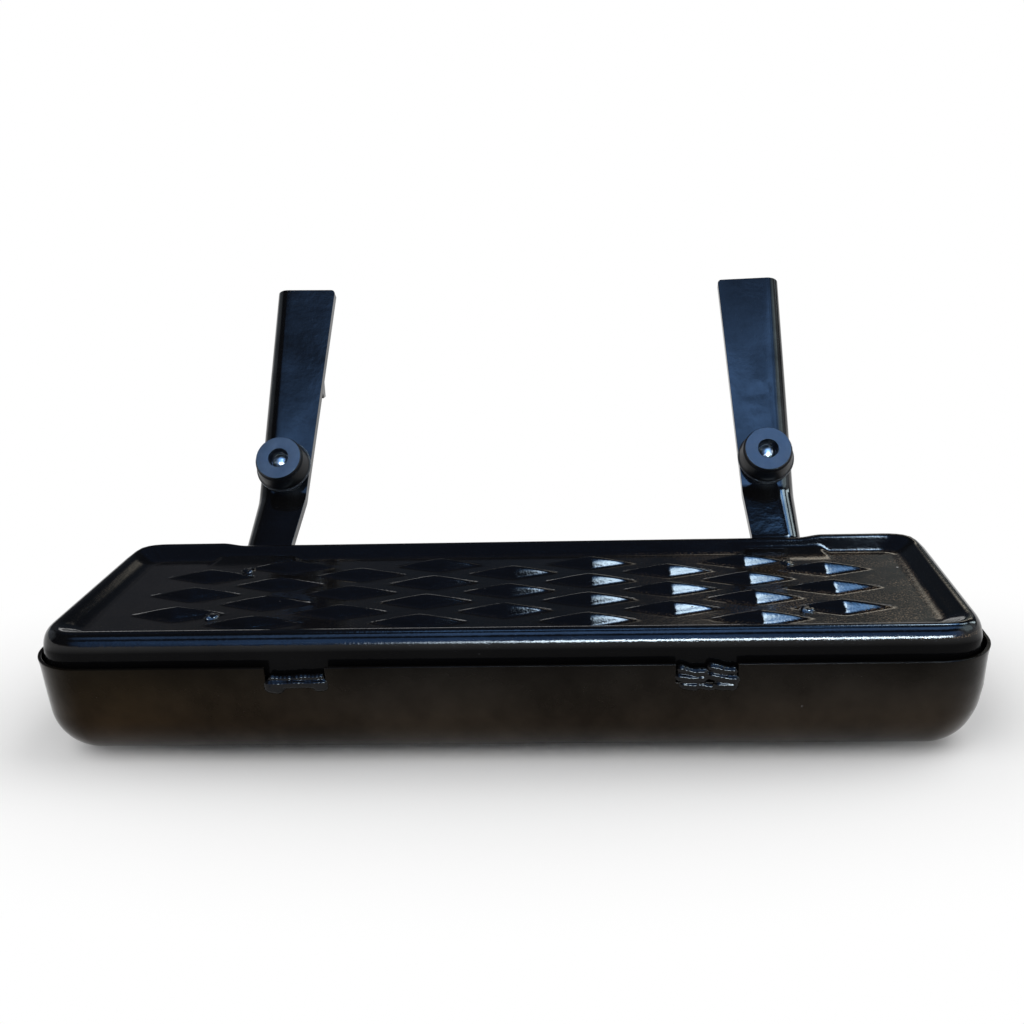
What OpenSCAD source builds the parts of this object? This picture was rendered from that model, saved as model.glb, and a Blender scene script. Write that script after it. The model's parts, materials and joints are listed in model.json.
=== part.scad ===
// Folding step for a vehicle: a pressed tread plate over a deeper pan, carried by two cranked arms
// that swing on a pair of small hinge brackets. Sizes in millimetres, +Z up, -Y towards the user.

/* [Tread plate] */
// Overall length of the tread plate
tread_l = 380; // [350:1:420]
// Overall depth of the tread plate, front to back
tread_d = 116; // [112:1:136]
// Plan radius of the tread plate's outer corners
tread_corner_r = 20.5; // [18:0.5:26]
// Thickness of the tread plate's sheet
tread_t = 2; // [1.6:0.1:2.4]
// Outside radius of the rolled rim
rim_r = 5; // [4.4:0.1:5.6]
// Height of the rim's crest above the floor
rim_h = 4.3; // [3.6:0.1:5]
// Distance from the floor's edge to the middle of the rim
rim_w = 9; // [8:0.1:10.5]
// Depth of the skirt below the floor
skirt_h = 19; // [17:0.5:24]

/* [Diamond studs] */
// Distance between neighbouring columns of studs
stud_pitch_x = 35; // [32:0.5:36]
// Distance between neighbouring rows of studs
stud_pitch_y = 11.4; // [10.5:0.1:11.8]
// Length of a stud along the tread
stud_l = 40.2; // [34:0.2:42]
// Width of a stud across the tread
stud_w = 15.5; // [12:0.5:16]
// Height of a stud above the floor
stud_h = 3.7; // [3:0.1:4.5]
// How far the stud pattern sits forward of the middle
stud_shift = 2; // [0:0.5:3]

/* [Lower pan] */
// Thickness of the pan's sheet
pan_t = 1.6; // [1.2:0.1:2]
// Clear gap between the tread's skirt and the pan at its top edge
pan_gap = 2.4; // [2:0.1:3]
// Distance from the tread's floor down to the pan's top edge
pan_drop = 8.1; // [7.6:0.1:9]
// Height of the pan
pan_h = 43.4; // [36:0.2:60]
// Outside radius between the pan's wall and its underside
pan_bottom_r = 21.5; // [16:0.5:22]
// Draft of the pan's walls, in degrees
pan_draft = 4.5; // [2:0.5:5]

/* [Weld notches] */
// Distance from the tread's end in to the middle of each weld notch
notch_inset = 108.6; // [95:0.2:125]
// Width of a weld notch
notch_w = 24; // [18:0.5:30]
// Depth of a weld notch below the pan's top edge
notch_h = 8; // [6:0.5:9]
// Radius of the weld bead
bead_r = 2.7; // [2.3:0.1:3]

/* [Arms] */
// Thickness of the arm's plate
arm_t = 4.5; // [3.5:0.5:5]
// Distance from the tread's end in to the outer face of each arm
arm_inset = 52.9; // [45:0.1:60]
// Width of the arm's foot, up to the rim
arm_foot_w = 24.5; // [22.5:0.5:27]
// Width of the arm at its bend
arm_bend_w = 26.5; // [26:0.5:30]
// Width of the arm at its top end
arm_top_w = 32.7; // [32:0.1:36]
// Outside radius along the arm's outer edge
arm_edge_r = 6; // [5:0.5:7]
// Length of the foot under the tread, measured forward from the middle
foot_reach = 38; // [20:1:46]
// Slope of the arm where it passes under the rim, in degrees
foot_angle = 8; // [6:0.5:9]
// Slope of the arm below its bend, in degrees
lower_angle = 32; // [26:1:36]
// Slope of the arm above its bend, in degrees
upper_angle = 52; // [48:1:56]
// Length of the arm from the rim to its bend
lower_len = 33; // [30:1:44]
// Length of the arm from its bend to its top end
upper_len = 122; // [110:0.5:140]
// Height of the arm's face above the floor where it leaves the rim
arm_exit_z = 1.6; // [1.2:0.1:1.8]
// Distance from the tread's back to the point where the arm turns up
arm_exit_y = 2.6; // [2.5:0.1:5]
// Depth of the arm's flange under the floor
flange_foot = 6.4; // [6.2:0.1:8]
// Depth of the arm's flange where it leaves the rim
flange_root = 8.5; // [7.5:0.1:8.6]
// Depth of the arm's flange at the bend
flange_mid = 15; // [12:0.5:20]
// Inside radius of the bend under the floor
ramp_bend_r = 10; // [6:1:12]
// Inside radius of the bend at the rim
root_bend_r = 12; // [6:1:12]
// Inside radius of the bend below the buffer
mid_bend_r = 12; // [8:1:16]
// Angle by which the top end is cut out of square, in degrees
end_skew = 1.5; // [0:0.1:2]
// Radius of the top end's inner corner
end_corner_r = 2.5; // [1:0.5:4]
// Clear gap between the arm and the tread plate around it
arm_gap = 0.25; // [0.2:0.05:0.4]

/* [Plug welds] */
// Radius of a plug weld
plug_r = 3.5; // [2.5:0.5:4]
// Height of a plug weld's crown above the floor
plug_crown = 0.9; // [0.5:0.1:1.4]
// Distance from the middle back to the rear plug welds
plug_rear_y = 28.9; // [24:0.1:31]
// Distance from the middle forward to the front plug welds
plug_front_y = 27.5; // [20:0.5:32]

/* [Buffers] */
// Distance from the arm's bend up to the buffer
buffer_up = 16.2; // [16:0.1:40]
// Radius of the buffer at its base
buffer_base_r = 13.8; // [12:0.1:14]
// Radius of the buffer at its tip
buffer_tip_r = 11.5; // [10:0.1:12]
// Height of the buffer
buffer_h = 12; // [10:0.5:16]
// Radius of the recess in the buffer's tip
recess_r = 5; // [4.6:0.1:5.6]
// Thickness of rubber left under the recess
recess_floor = 5; // [3:0.5:7]
// Radius of the buffer's screw
screw_r = 3; // [2.5:0.5:3]
// Radius of the screw's domed head
screw_head_r = 3.9; // [3.6:0.1:4.2]
// Height of the screw's domed head
screw_head_h = 2.2; // [1.6:0.1:3]
// Clearance round the screw in the holes it passes through
screw_gap = 0.25; // [0.1:0.05:0.4]
// Thickness of the washer under the screw's head
screw_washer_t = 1; // [0.8:0.1:1.4]
// Width across flats of the buffer's nut
screw_nut_af = 10; // [9:0.5:11]
// Height of the buffer's nut
screw_nut_h = 5; // [4:0.5:6]

/* [Hinge] */
// Radius of the pivot pin
pin_r = 4; // [3.5:0.1:4.4]
// Running clearance between the pin and its bush
pin_gap = 0.05; // [0.02:0.01:0.1]
// Distance from the arm's top end down to the pivot
pivot_down = 11; // [10:0.5:12]
// Distance from the arm's face back to the pivot
pivot_back = 13; // [12.8:0.1:14]
// Wall of the pivot's bush
bush_wall = 1.5; // [1:0.1:1.8]
// Radius of the eye at the top of the bracket
eye_r = 8; // [7.6:0.1:8.2]
// Thickness of the hinge bracket
bracket_t = 5; // [4:0.5:6]
// Distance from the pivot back to the bracket's mounting plate
plate_back = 18.5; // [18:0.1:22]
// Gap at the stop between the arm's heel and the bracket
stop_gap = 0.3; // [0.2:0.05:0.5]
// Space between the arm's flange and the bracket's ear
ear_space = 6.4; // [2.5:0.1:8]
// Side clearance between parts that turn past each other
side_gap = 0.3; // [0.2:0.05:0.5]
// Width of the bracket's mounting plate
plate_w = 20; // [19:0.5:24]
// Distance from the pivot down to the upper bolt hole
bolt_down = 17; // [16.5:0.5:20]
// Distance between the two bolt holes
bolt_pitch = 23; // [20:1:32]
// Radius of the bolt holes
bolt_hole_r = 4.5; // [3:0.5:4.5]
// Metal left around the bolt holes towards the plate's ends
bolt_margin = 9; // [8:0.5:12]
// Thickness of the pivot's washer
pivot_washer_t = 1.6; // [1.2:0.1:2]
// Width across flats of the pivot's nut
pivot_nut_af = 13; // [12:0.5:13]
// Height of the pivot's nut
pivot_nut_h = 6.5; // [5:0.5:8]
// Length of thread that stands out of the pivot's nut
thread_end = 2; // [1:0.5:3]

/* [Hidden] */
$fn = 96;

// Length by which two solids of one sheet run into each other where they join
seam = 1;

// A direction in the side view (Y, Z), its forward normal, and a point reached along both
function along(a) = [cos(a), sin(a)];
function normal(a) = [-sin(a), cos(a)];

// Floor of the tread and its rolled rim
rim_reach = rim_w + rim_r;
floor_l = tread_l - 2 * rim_reach;
floor_d = tread_d - 2 * rim_reach;
floor_corner_r = tread_corner_r - rim_reach;
rim_c = [rim_w, rim_h - rim_r];
rim_slope = atan2(rim_c[1], rim_c[0]) + asin(rim_r / norm(rim_c));
rim_top = rim_c + rim_r * normal(rim_slope);

// Lower pan
pan_out = pan_gap + pan_t;
pan_l = tread_l + 2 * pan_out;
pan_d = tread_d + 2 * pan_out;
pan_corner_r = tread_corner_r + pan_out;
pan_top = -pan_drop;
pan_bottom = pan_top - pan_h;
pan_wall_n = [cos(pan_draft), -sin(pan_draft)];
pan_c_z = pan_bottom + pan_bottom_r;
pan_c_u = pan_corner_r + ((pan_c_z - pan_top) * sin(pan_draft) - pan_bottom_r) / cos(pan_draft);
pan_c = [pan_c_u, pan_c_z];

// Side view of the arm's face, from the foot to the top end
foot_z = -tread_t;
exit_p = [tread_d / 2 + arm_exit_y, arm_exit_z];
ramp_run = (arm_exit_z - foot_z) / tan(foot_angle);
ramp_p = [exit_p[0] - ramp_run, foot_z];
bend_p = exit_p + lower_len * along(lower_angle);
top_p = bend_p + upper_len * along(upper_angle);
face_points = [[-foot_reach, foot_z], ramp_p, exit_p, bend_p, top_p + along(upper_angle)];
face_angles = [0, foot_angle, lower_angle, upper_angle];
face_radii = [0, ramp_bend_r, root_bend_r, mid_bend_r, 0];

edge_turns = [0:11.25:90];
bend_steps = 6;

// Centre of bend i, off the face on its upper side
function bend_centre(i) =
    let (from = face_angles[i - 1], turn = face_angles[i] - from)
    face_points[i] + face_radii[i] * (normal(from) - tan(turn / 2) * along(from));

// Pivot, heel and the bracket's plate
pivot_p = top_p - pivot_down * along(upper_angle) - pivot_back * normal(upper_angle);
heel_back = (plate_back - stop_gap - pivot_down * cos(upper_angle)) / sin(upper_angle);
flange_top = pivot_back + heel_back;
plate_y = pivot_p[0] + plate_back;

// Places across the step
arm_outer_x = tread_l / 2 - arm_inset;
notch_x = tread_l / 2 - notch_inset;
edge_c = [arm_edge_r, arm_outer_x - arm_edge_r];
foot_in_x = arm_outer_x - arm_foot_w;
bend_in_x = arm_outer_x - arm_bend_w;
top_in_x = arm_outer_x - arm_top_w;
plug_x = arm_outer_x - arm_foot_w / 2;
buffer_share = buffer_up / upper_len;
buffer_w = arm_bend_w + (arm_top_w - arm_bend_w) * buffer_share;
buffer_x = arm_outer_x - buffer_w / 2;
buffer_p = bend_p + buffer_up * along(upper_angle);
flange_in_x = arm_outer_x - arm_t;
ear_out_x = flange_in_x - ear_space;
ear_in_x = ear_out_x - bracket_t;
plate_out_x = ear_in_x + plate_w;
bolt_x = (ear_out_x + plate_out_x) / 2;
bush_r = pin_r + pin_gap + bush_wall;
pin_end_x = ear_in_x - side_gap - pivot_washer_t - pivot_nut_h - thread_end;

// The origin is the middle of the four bolt holes, on the brackets' mounting faces
origin_y = plate_y + bracket_t;
origin_z = pivot_p[1] - bolt_down - bolt_pitch / 2;

steel_black = [0.03, 0.03, 0.035];
rubber_black = [0.16, 0.17, 0.19];
zinc = [0.72, 0.73, 0.75];
bronze = [0.62, 0.47, 0.25];

// Moves a piece from the tread's own frame to the step's frame
module placed() {
    translate([0, -origin_y, -origin_z]) children();
}

// Draws a piece of the right-hand side, or its mirror image on the left
module sided(side) {
    mirror([side == "left" ? 1 : 0, 0, 0]) children();
}

// Turns an outline drawn as (Y, Z) into a slab between two places across the step
module side_slab(x0, x1) {
    translate([x0, 0, 0]) rotate([90, 0, 90]) linear_extrude(x1 - x0) children();
}

// Sweeps a profile drawn as (outward, up) round a rectangle with rounded corners
module swept_round(l, d, r) {
    for (m = [0, 1]) {
        mirror([0, m, 0]) translate([-(l / 2 - r), d / 2, 0])
            rotate([90, 0, 90]) linear_extrude(l - 2 * r) children();
        mirror([m, 0, 0]) translate([l / 2, d / 2 - r, 0])
            rotate([90, 0, 0]) linear_extrude(d - 2 * r) children();
        for (n = [0, 1])
            mirror([m, 0, 0]) mirror([0, n, 0]) translate([l / 2 - r, d / 2 - r, 0])
                rotate_extrude(angle = 90) translate([r, 0]) children();
    }
}

module rounded_rect(l, d, r) {
    square([l - 2 * r, d], center = true);
    square([l, d - 2 * r], center = true);
    for (x = [-1, 1], y = [-1, 1])
        translate([x * (l / 2 - r), y * (d / 2 - r)]) circle(r);
}

// Section of the rolled rim: out from the floor's edge, over the crest and down the skirt
module rim_section() {
    inset_u = tread_t * tan(rim_slope / 2);
    inset_top = rim_top - tread_t * normal(rim_slope);
    difference() {
        union() {
            polygon([
                [-seam, 0], [0, 0], rim_top, rim_c,
                [rim_reach, rim_c[1]], [rim_reach, -skirt_h], [-seam, -skirt_h]
            ]);
            translate(rim_c) circle(rim_r);
        }
        union() {
            polygon([
                [-2 * seam, -tread_t], [inset_u, -tread_t], inset_top, rim_c,
                [rim_reach - tread_t, rim_c[1]], [rim_reach - tread_t, -skirt_h - 1],
                [-2 * seam, -skirt_h - 1]
            ]);
            translate(rim_c) circle(rim_r - tread_t);
        }
    }
}

// A four-sided pyramid on a diamond, with a short straight root below it
module diamond(l, w, root_z, base_z, apex_z) {
    ring = [[l / 2, 0], [0, w / 2], [-l / 2, 0], [0, -w / 2]];
    points = concat(
        [for (p = ring) [p[0], p[1], root_z]],
        [for (p = ring) [p[0], p[1], base_z]],
        [[0, 0, apex_z]]
    );
    sides = [for (i = [0:3]) [i, i + 4, (i + 1) % 4 + 4, (i + 1) % 4]];
    slopes = [for (i = [0:3]) [i + 4, 8, (i + 1) % 4 + 4]];
    polyhedron(points, concat([[0, 1, 2, 3]], sides, slopes));
}

// As many studs as the floor holds, in columns and rows set like the squares of a chessboard
module each_stud() {
    columns = floor((floor_l - stud_l) / 2 / stud_pitch_x);
    rows = floor((floor_d / 2 - stud_shift - stud_w / 2) / stud_pitch_y);
    for (column = [-columns:columns], row = [-rows:rows])
        if ((column + row) % 2 == 0)
            translate([column * stud_pitch_x, row * stud_pitch_y - stud_shift, 0]) children();
}

stud_slope = atan2(stud_h, stud_w / 2);
stud_drop = tread_t / cos(stud_slope);
hollow_share = 1 - (stud_drop - tread_t) / stud_h;

// Shallow ramp pressed into the floor where an arm climbs towards the rim
module arm_swage() {
    half_front = arm_foot_w / 2 + 9;
    half_back = arm_foot_w / 2 + 5;
    back_y = floor_d / 2 + rim_w / 3;
    lift = (back_y - ramp_p[0]) * tan(foot_angle);
    low = -tread_t / 2;
    points = [
        [-half_front, ramp_p[0], low], [half_front, ramp_p[0], low],
        [half_back, back_y, low], [-half_back, back_y, low],
        [-half_front, ramp_p[0], 0], [half_front, ramp_p[0], 0],
        [half_back, back_y, lift], [-half_back, back_y, lift],
        [half_front, back_y, 0], [-half_front, back_y, 0],
        [half_front, back_y, low], [-half_front, back_y, low]
    ];
    translate([plug_x, 0, 0]) polyhedron(points, [
        [0, 1, 10, 11], [4, 7, 6, 5], [0, 4, 5, 1], [5, 6, 8], [4, 9, 7],
        [1, 5, 8, 10], [0, 11, 9, 4], [10, 8, 6, 7, 9, 11]
    ]);
}

// Space that an arm needs through the rim and skirt
module arm_passage() {
    start_y = ramp_p[0] - ramp_bend_r / 2;
    end_p = exit_p + (arm_gap + 4) * along(foot_angle);
    side_slab(foot_in_x - arm_gap, arm_outer_x + arm_gap)
        polygon([
            [start_y, foot_z], ramp_p + [0, arm_gap], end_p + [0, arm_gap + 0.5],
            [end_p[0], -skirt_h - 1], [start_y, -skirt_h - 1]
        ]);
}

module tread_plate() {
    color(steel_black) placed() difference() {
        union() {
            translate([0, 0, -tread_t]) linear_extrude(tread_t)
                rounded_rect(floor_l, floor_d, floor_corner_r);
            swept_round(floor_l, floor_d, floor_corner_r) rim_section();
            each_stud() diamond(stud_l, stud_w, -tread_t / 2, 0, stud_h);
            for (side = ["left", "right"]) sided(side) arm_swage();
        }
        each_stud() diamond(
            stud_l * hollow_share, stud_w * hollow_share, -tread_t - 1, -tread_t, stud_h - stud_drop
        );
        for (side = ["left", "right"]) sided(side) {
            arm_passage();
            for (y = [-plug_front_y, plug_rear_y])
                translate([plug_x, y, -tread_t - 1]) cylinder(r = plug_r, h = tread_t + stud_h + 1);
        }
    }
}

// Outline of the pan's wall and rounded bottom edge, filled in to the corner's axis
module pan_filled(inset, top_z) {
    wall_top = [pan_corner_r, pan_top] - inset * pan_wall_n;
    lift = top_z - wall_top[1];
    bottom_r = pan_bottom_r - inset;
    intersection() {
        union() {
            polygon([
                [0, top_z], wall_top + [lift * tan(pan_draft), lift], pan_c + bottom_r * pan_wall_n,
                pan_c, [pan_c[0], pan_c[1] - bottom_r], [0, pan_c[1] - bottom_r]
            ]);
            translate(pan_c) circle(bottom_r);
        }
        translate([0, pan_bottom - 1]) square([2 * pan_corner_r, pan_h + 3]);
    }
}

module pan_section() {
    difference() {
        pan_filled(0, pan_top);
        pan_filled(pan_t, pan_top + 1);
        translate([-seam, pan_bottom + pan_t]) square([seam + pan_c[0], pan_h]);
    }
}

// Notches that the pan's top edge leaves for the welds
module weld_notches() {
    for (x = [-notch_x, notch_x], y = [-pan_d / 2, pan_d / 2])
        translate([x, y, pan_top]) cube([notch_w, 4 * pan_t, 2 * notch_h], center = true);
}

module lower_pan() {
    core_l = pan_l - 2 * pan_corner_r;
    core_d = pan_d - 2 * pan_corner_r;
    color(steel_black) placed() difference() {
        union() {
            swept_round(core_l, core_d, 0) pan_section();
            translate([0, 0, pan_bottom + pan_t / 2])
                cube([core_l + seam, core_d + seam, pan_t], center = true);
        }
        weld_notches();
    }
}

// Lumpy bead along the bottom of a notch, from the skirt's face to the pan's edge
module notch_weld(x, y_side) {
    pitch = (notch_w - 2.4 * bead_r) / 3;
    color(steel_black) placed() for (i = [0:2]) hull() for (k = [i, i + 1])
        translate([
            x + (k - 1.5) * pitch,
            y_side * (tread_d / 2 + pan_out / 2),
            pan_top - notch_h + bead_r * (0.25 - 0.15 * cos(k * 120))
        ])
            sphere(bead_r * (1 + 0.12 * cos(k * 120)), $fn = 16);
}

// Section of the arm as (depth behind the face, place across): plate, rounded edge and flange
function arm_section(inner_x, flange) = concat(
    [[arm_t, inner_x], [0, inner_x]],
    [for (a = edge_turns) edge_c + arm_edge_r * [-cos(a), sin(a)]],
    [[flange, arm_outer_x], [flange, flange_in_x]],
    [for (a = edge_turns) edge_c + (arm_edge_r - arm_t) * [-sin(a), cos(a)]]
);

// Folded plate of the arm: its section carried along the corners of its face, with round bends
module arm_blank() {
    flanges = [flange_foot, flange_foot, flange_root, flange_mid, flange_top];
    inner_xs = [foot_in_x, foot_in_x, foot_in_x, bend_in_x, top_in_x];
    slopes = concat([0], face_angles);
    sections = [
        for (i = [0:4], k = [0:face_radii[i] > 0 ? bend_steps : 0])
            let (a = slopes[i] + (face_angles[min(i, 3)] - slopes[i]) * k / bend_steps)
            let (p = face_radii[i] > 0 ? bend_centre(i) - face_radii[i] * normal(a) : face_points[i])
            [for (q = arm_section(inner_xs[i], flanges[i])) concat(q[1], p - q[0] * normal(a))]
    ];
    n = len(sections[0]);
    last = (len(sections) - 1) * n;
    walls = [
        for (k = [0:n:last - n], i = [0:n - 1])
            [k + i, k + n + i, k + n + (i + 1) % n, k + (i + 1) % n]
    ];
    caps = [[for (i = [0:n - 1]) i], [for (i = [n - 1:-1:0]) last + i]];
    polyhedron([for (section = sections, point = section) point], concat(walls, caps));
}

// Places a thing on the arm's upper face, with its own +Z out of the face
module on_upper_face(p, x) {
    translate([x, p[0], p[1]]) rotate([upper_angle, 0, 0]) children();
}

// Everything beyond the top end, which is cut out of square with its inner corner rounded
module beyond_end() {
    inner_x = end_corner_r - arm_top_w;
    on_upper_face(top_p, arm_outer_x) rotate([0, 0, end_skew]) translate([0, 0, -flange_top - 5])
        linear_extrude(flange_top + 6) polygon(concat(
            [[1, 0], [1, 10], [-arm_top_w - 5, 10], [-arm_top_w - 5, -end_corner_r]],
            [for (a = [180:-15:90]) [inner_x, -end_corner_r] + end_corner_r * [cos(a), sin(a)]]
        ));
}

module arm(side) {
    color(steel_black) sided(side) placed() difference() {
        arm_blank();
        beyond_end();
        on_upper_face(buffer_p, buffer_x) translate([0, 0, -arm_t - 1])
            cylinder(r = screw_r + screw_gap, h = arm_t + 2);
        translate([flange_in_x - 1, pivot_p[0], pivot_p[1]]) rotate([0, 90, 0])
            cylinder(r = pin_r, h = arm_t + 2);
    }
}

// Two plug welds that fill the floor's holes and crown a little above it
module plug_welds(side) {
    crown_r = (plug_r * plug_r + plug_crown * plug_crown) / (2 * plug_crown);
    color(steel_black) sided(side) placed() for (y = [-plug_front_y, plug_rear_y])
        translate([plug_x, y, 0]) {
            translate([0, 0, -tread_t]) cylinder(r = plug_r, h = tread_t);
            intersection() {
                translate([0, 0, plug_crown - crown_r]) sphere(crown_r);
                cylinder(r = plug_r, h = plug_crown + 1);
            }
        }
}

// Rubber buffer, a short cone with a recess for the screw's head
module buffer(side) {
    bore = screw_r + screw_gap;
    lip = 0.8;
    color(rubber_black) sided(side) placed() on_upper_face(buffer_p, buffer_x) rotate_extrude()
        polygon([
            [bore, 0], [buffer_base_r, 0], [buffer_base_r, 2 * lip], [buffer_tip_r, buffer_h - lip],
            [buffer_tip_r - lip, buffer_h], [recess_r + lip, buffer_h], [recess_r, buffer_h - lip],
            [recess_r, recess_floor], [bore, recess_floor]
        ]);
}

module buffer_washer(side) {
    color(zinc) sided(side) placed() on_upper_face(buffer_p, buffer_x)
        translate([0, 0, recess_floor]) difference() {
            cylinder(r = recess_r - screw_gap, h = screw_washer_t);
            translate([0, 0, -1]) cylinder(r = screw_r + screw_gap, h = screw_washer_t + 2);
        }
}

module buffer_screw(side) {
    seat = recess_floor + screw_washer_t;
    dome_r = (screw_head_r * screw_head_r + screw_head_h * screw_head_h) / (2 * screw_head_h);
    tail = arm_t + screw_nut_h + 1.5;
    color(zinc) sided(side) placed() on_upper_face(buffer_p, buffer_x) {
        translate([0, 0, -tail]) cylinder(r = screw_r, h = tail + seat);
        translate([0, 0, seat]) intersection() {
            translate([0, 0, screw_head_h - dome_r]) sphere(dome_r);
            cylinder(r = screw_head_r, h = screw_head_h + 1);
        }
    }
}

module hex_nut(across, height, bore) {
    difference() {
        cylinder(d = across / cos(30), h = height, $fn = 6);
        translate([0, 0, -1]) cylinder(r = bore, h = height + 2);
    }
}

module buffer_nut(side) {
    color(zinc) sided(side) placed() on_upper_face(buffer_p, buffer_x)
        translate([0, 0, -arm_t - screw_nut_h]) hex_nut(screw_nut_af, screw_nut_h, screw_r);
}

// Bracket: an ear with the pivot's eye, and a plate bolted to the vehicle
module hinge_bracket(side) {
    plate_low = pivot_p[1] - bolt_down - bolt_pitch - bolt_margin;
    plate_high = pivot_p[1] + 6;
    web_high = pivot_p[1] - 2.8;
    color(steel_black) sided(side) placed() difference() {
        union() {
            side_slab(ear_in_x, ear_out_x) {
                translate(pivot_p) circle(eye_r);
                polygon([
                    [pivot_p[0], web_high], [plate_y + 1, web_high], [plate_y + 1, plate_low],
                    [pivot_p[0] - eye_r / 2, pivot_p[1] - eye_r * sin(60)]
                ]);
            }
            translate([0, plate_y + bracket_t, 0]) rotate([90, 0, 0]) linear_extrude(bracket_t)
                polygon([
                    [ear_in_x, plate_low], [plate_out_x, plate_low],
                    [plate_out_x, pivot_p[1] - bolt_down + bolt_hole_r],
                    [arm_outer_x + 2, plate_high], [ear_in_x, plate_high]
                ]);
        }
        translate([ear_in_x - 1, pivot_p[0], pivot_p[1]]) rotate([0, 90, 0])
            cylinder(r = bush_r, h = bracket_t + 2);
        for (drop = [bolt_down, bolt_down + bolt_pitch])
            translate([bolt_x, plate_y - 1, pivot_p[1] - drop]) rotate([-90, 0, 0])
                cylinder(r = bolt_hole_r, h = bracket_t + 2);
    }
}

// A ring on the pivot's axis between two places across the step
module pivot_ring(side, x0, x1, outer, inner) {
    sided(side) placed() translate([x0, pivot_p[0], pivot_p[1]]) rotate([0, 90, 0]) difference() {
        cylinder(r = outer, h = x1 - x0);
        translate([0, 0, -1]) cylinder(r = inner, h = x1 - x0 + 2);
    }
}

module pivot_bush(side) {
    color(bronze) pivot_ring(side, ear_in_x, ear_out_x, bush_r, pin_r + pin_gap);
}

module pivot_spacer(side) {
    color(zinc) pivot_ring(side, ear_out_x + side_gap, flange_in_x, eye_r, pin_r);
}

module pivot_washer(side) {
    x1 = ear_in_x - side_gap;
    color(zinc) pivot_ring(side, x1 - pivot_washer_t, x1, eye_r, pin_r);
}

module pivot_nut(side) {
    x1 = ear_in_x - side_gap - pivot_washer_t;
    color(zinc) sided(side) placed() translate([x1 - pivot_nut_h, pivot_p[0], pivot_p[1]])
        rotate([0, 90, 0]) hex_nut(pivot_nut_af, pivot_nut_h, pin_r);
}

module pivot_pin(side) {
    color(zinc) sided(side) placed() translate([pin_end_x, pivot_p[0], pivot_p[1]])
        rotate([0, 90, 0]) cylinder(r = pin_r, h = arm_outer_x - pin_end_x);
}

tread_plate();
lower_pan();
notch_weld(-notch_x, -1);  // front_weld_left
notch_weld(notch_x, -1);  // front_weld_right
notch_weld(-notch_x, 1);  // rear_weld_left
notch_weld(notch_x, 1);  // rear_weld_right
arm("left");  // arm_left
arm("right");  // arm_right
plug_welds("left");  // plug_welds_left
plug_welds("right");  // plug_welds_right
buffer("left");  // buffer_left
buffer("right");  // buffer_right
buffer_screw("left");  // buffer_screw_left
buffer_screw("right");  // buffer_screw_right
buffer_washer("left");  // buffer_washer_left
buffer_washer("right");  // buffer_washer_right
buffer_nut("left");  // buffer_nut_left
buffer_nut("right");  // buffer_nut_right
hinge_bracket("left");  // hinge_bracket_left
hinge_bracket("right");  // hinge_bracket_right
pivot_bush("left");  // pivot_bush_left
pivot_bush("right");  // pivot_bush_right
pivot_pin("left");  // pivot_pin_left
pivot_pin("right");  // pivot_pin_right
pivot_spacer("left");  // pivot_spacer_left
pivot_spacer("right");  // pivot_spacer_right
pivot_washer("left");  // pivot_washer_left
pivot_washer("right");  // pivot_washer_right
pivot_nut("left");  // pivot_nut_left
pivot_nut("right");  // pivot_nut_right
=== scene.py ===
"""Looks of the folding step: gloss-black pressed steel, rubber buffers and bright fasteners.

Lengths in the shape functions are millimetres in the tread's own frame: its origin is the middle of
the tread's floor, X runs along the tread, -Y points at the user and +Z up.
"""
import json
import math

import bmesh
import bpy
import numpy as np
from mathutils import Euler, Matrix, Vector

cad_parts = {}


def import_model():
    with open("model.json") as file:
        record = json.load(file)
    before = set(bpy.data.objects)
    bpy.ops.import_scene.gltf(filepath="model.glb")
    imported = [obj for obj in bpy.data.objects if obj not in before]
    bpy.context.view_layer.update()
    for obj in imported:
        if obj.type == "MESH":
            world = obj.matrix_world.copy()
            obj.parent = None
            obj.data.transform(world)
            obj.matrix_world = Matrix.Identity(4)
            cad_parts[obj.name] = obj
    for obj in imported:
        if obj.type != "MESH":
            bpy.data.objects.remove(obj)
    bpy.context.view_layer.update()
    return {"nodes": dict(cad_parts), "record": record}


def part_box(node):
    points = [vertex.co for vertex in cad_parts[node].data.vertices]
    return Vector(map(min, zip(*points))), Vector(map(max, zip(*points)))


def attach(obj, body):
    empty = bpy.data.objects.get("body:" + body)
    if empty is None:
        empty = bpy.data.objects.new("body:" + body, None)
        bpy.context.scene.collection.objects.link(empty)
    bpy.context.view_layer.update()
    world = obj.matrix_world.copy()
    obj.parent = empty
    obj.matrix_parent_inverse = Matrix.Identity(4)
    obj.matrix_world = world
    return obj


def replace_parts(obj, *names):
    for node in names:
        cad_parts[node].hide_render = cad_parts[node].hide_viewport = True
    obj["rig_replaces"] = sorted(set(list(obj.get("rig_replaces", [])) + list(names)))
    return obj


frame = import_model()

# Sizes of the tread, pan and arms, as in the part's source
TREAD_L, TREAD_D, TREAD_T = 380.0, 116.0, 1.75
RIM_W, RIM_R, RIM_H, RIM_FALL = 9.0, 5.0, 4.3, 9.0
SKIRT_H = 19.0
FLOOR_CORNER_R = 6.5
CORNER_BULGE, RIGHT_STRETCH = 2.0, 1.7
STUD_PITCH = (35.0, 11.4)
STUD_L, STUD_W, STUD_H, STUD_SHIFT = 40.2, 15.5, 3.7, 2.0
PAN_OUT, PAN_T, PAN_DROP, PAN_H = 4.0, 1.6, 8.1, 43.4
PAN_BOTTOM_R, PAN_DRAFT = 21.5, math.radians(4.5)
NOTCH_X, NOTCH_W, NOTCH_H = 81.4, 24.0, 8.0
ARM_T, ARM_OUTER_X = 4.5, 137.1
ARM_EDGES = (6.0, 6.0, 7.5, 9.0, 6.5)
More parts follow.
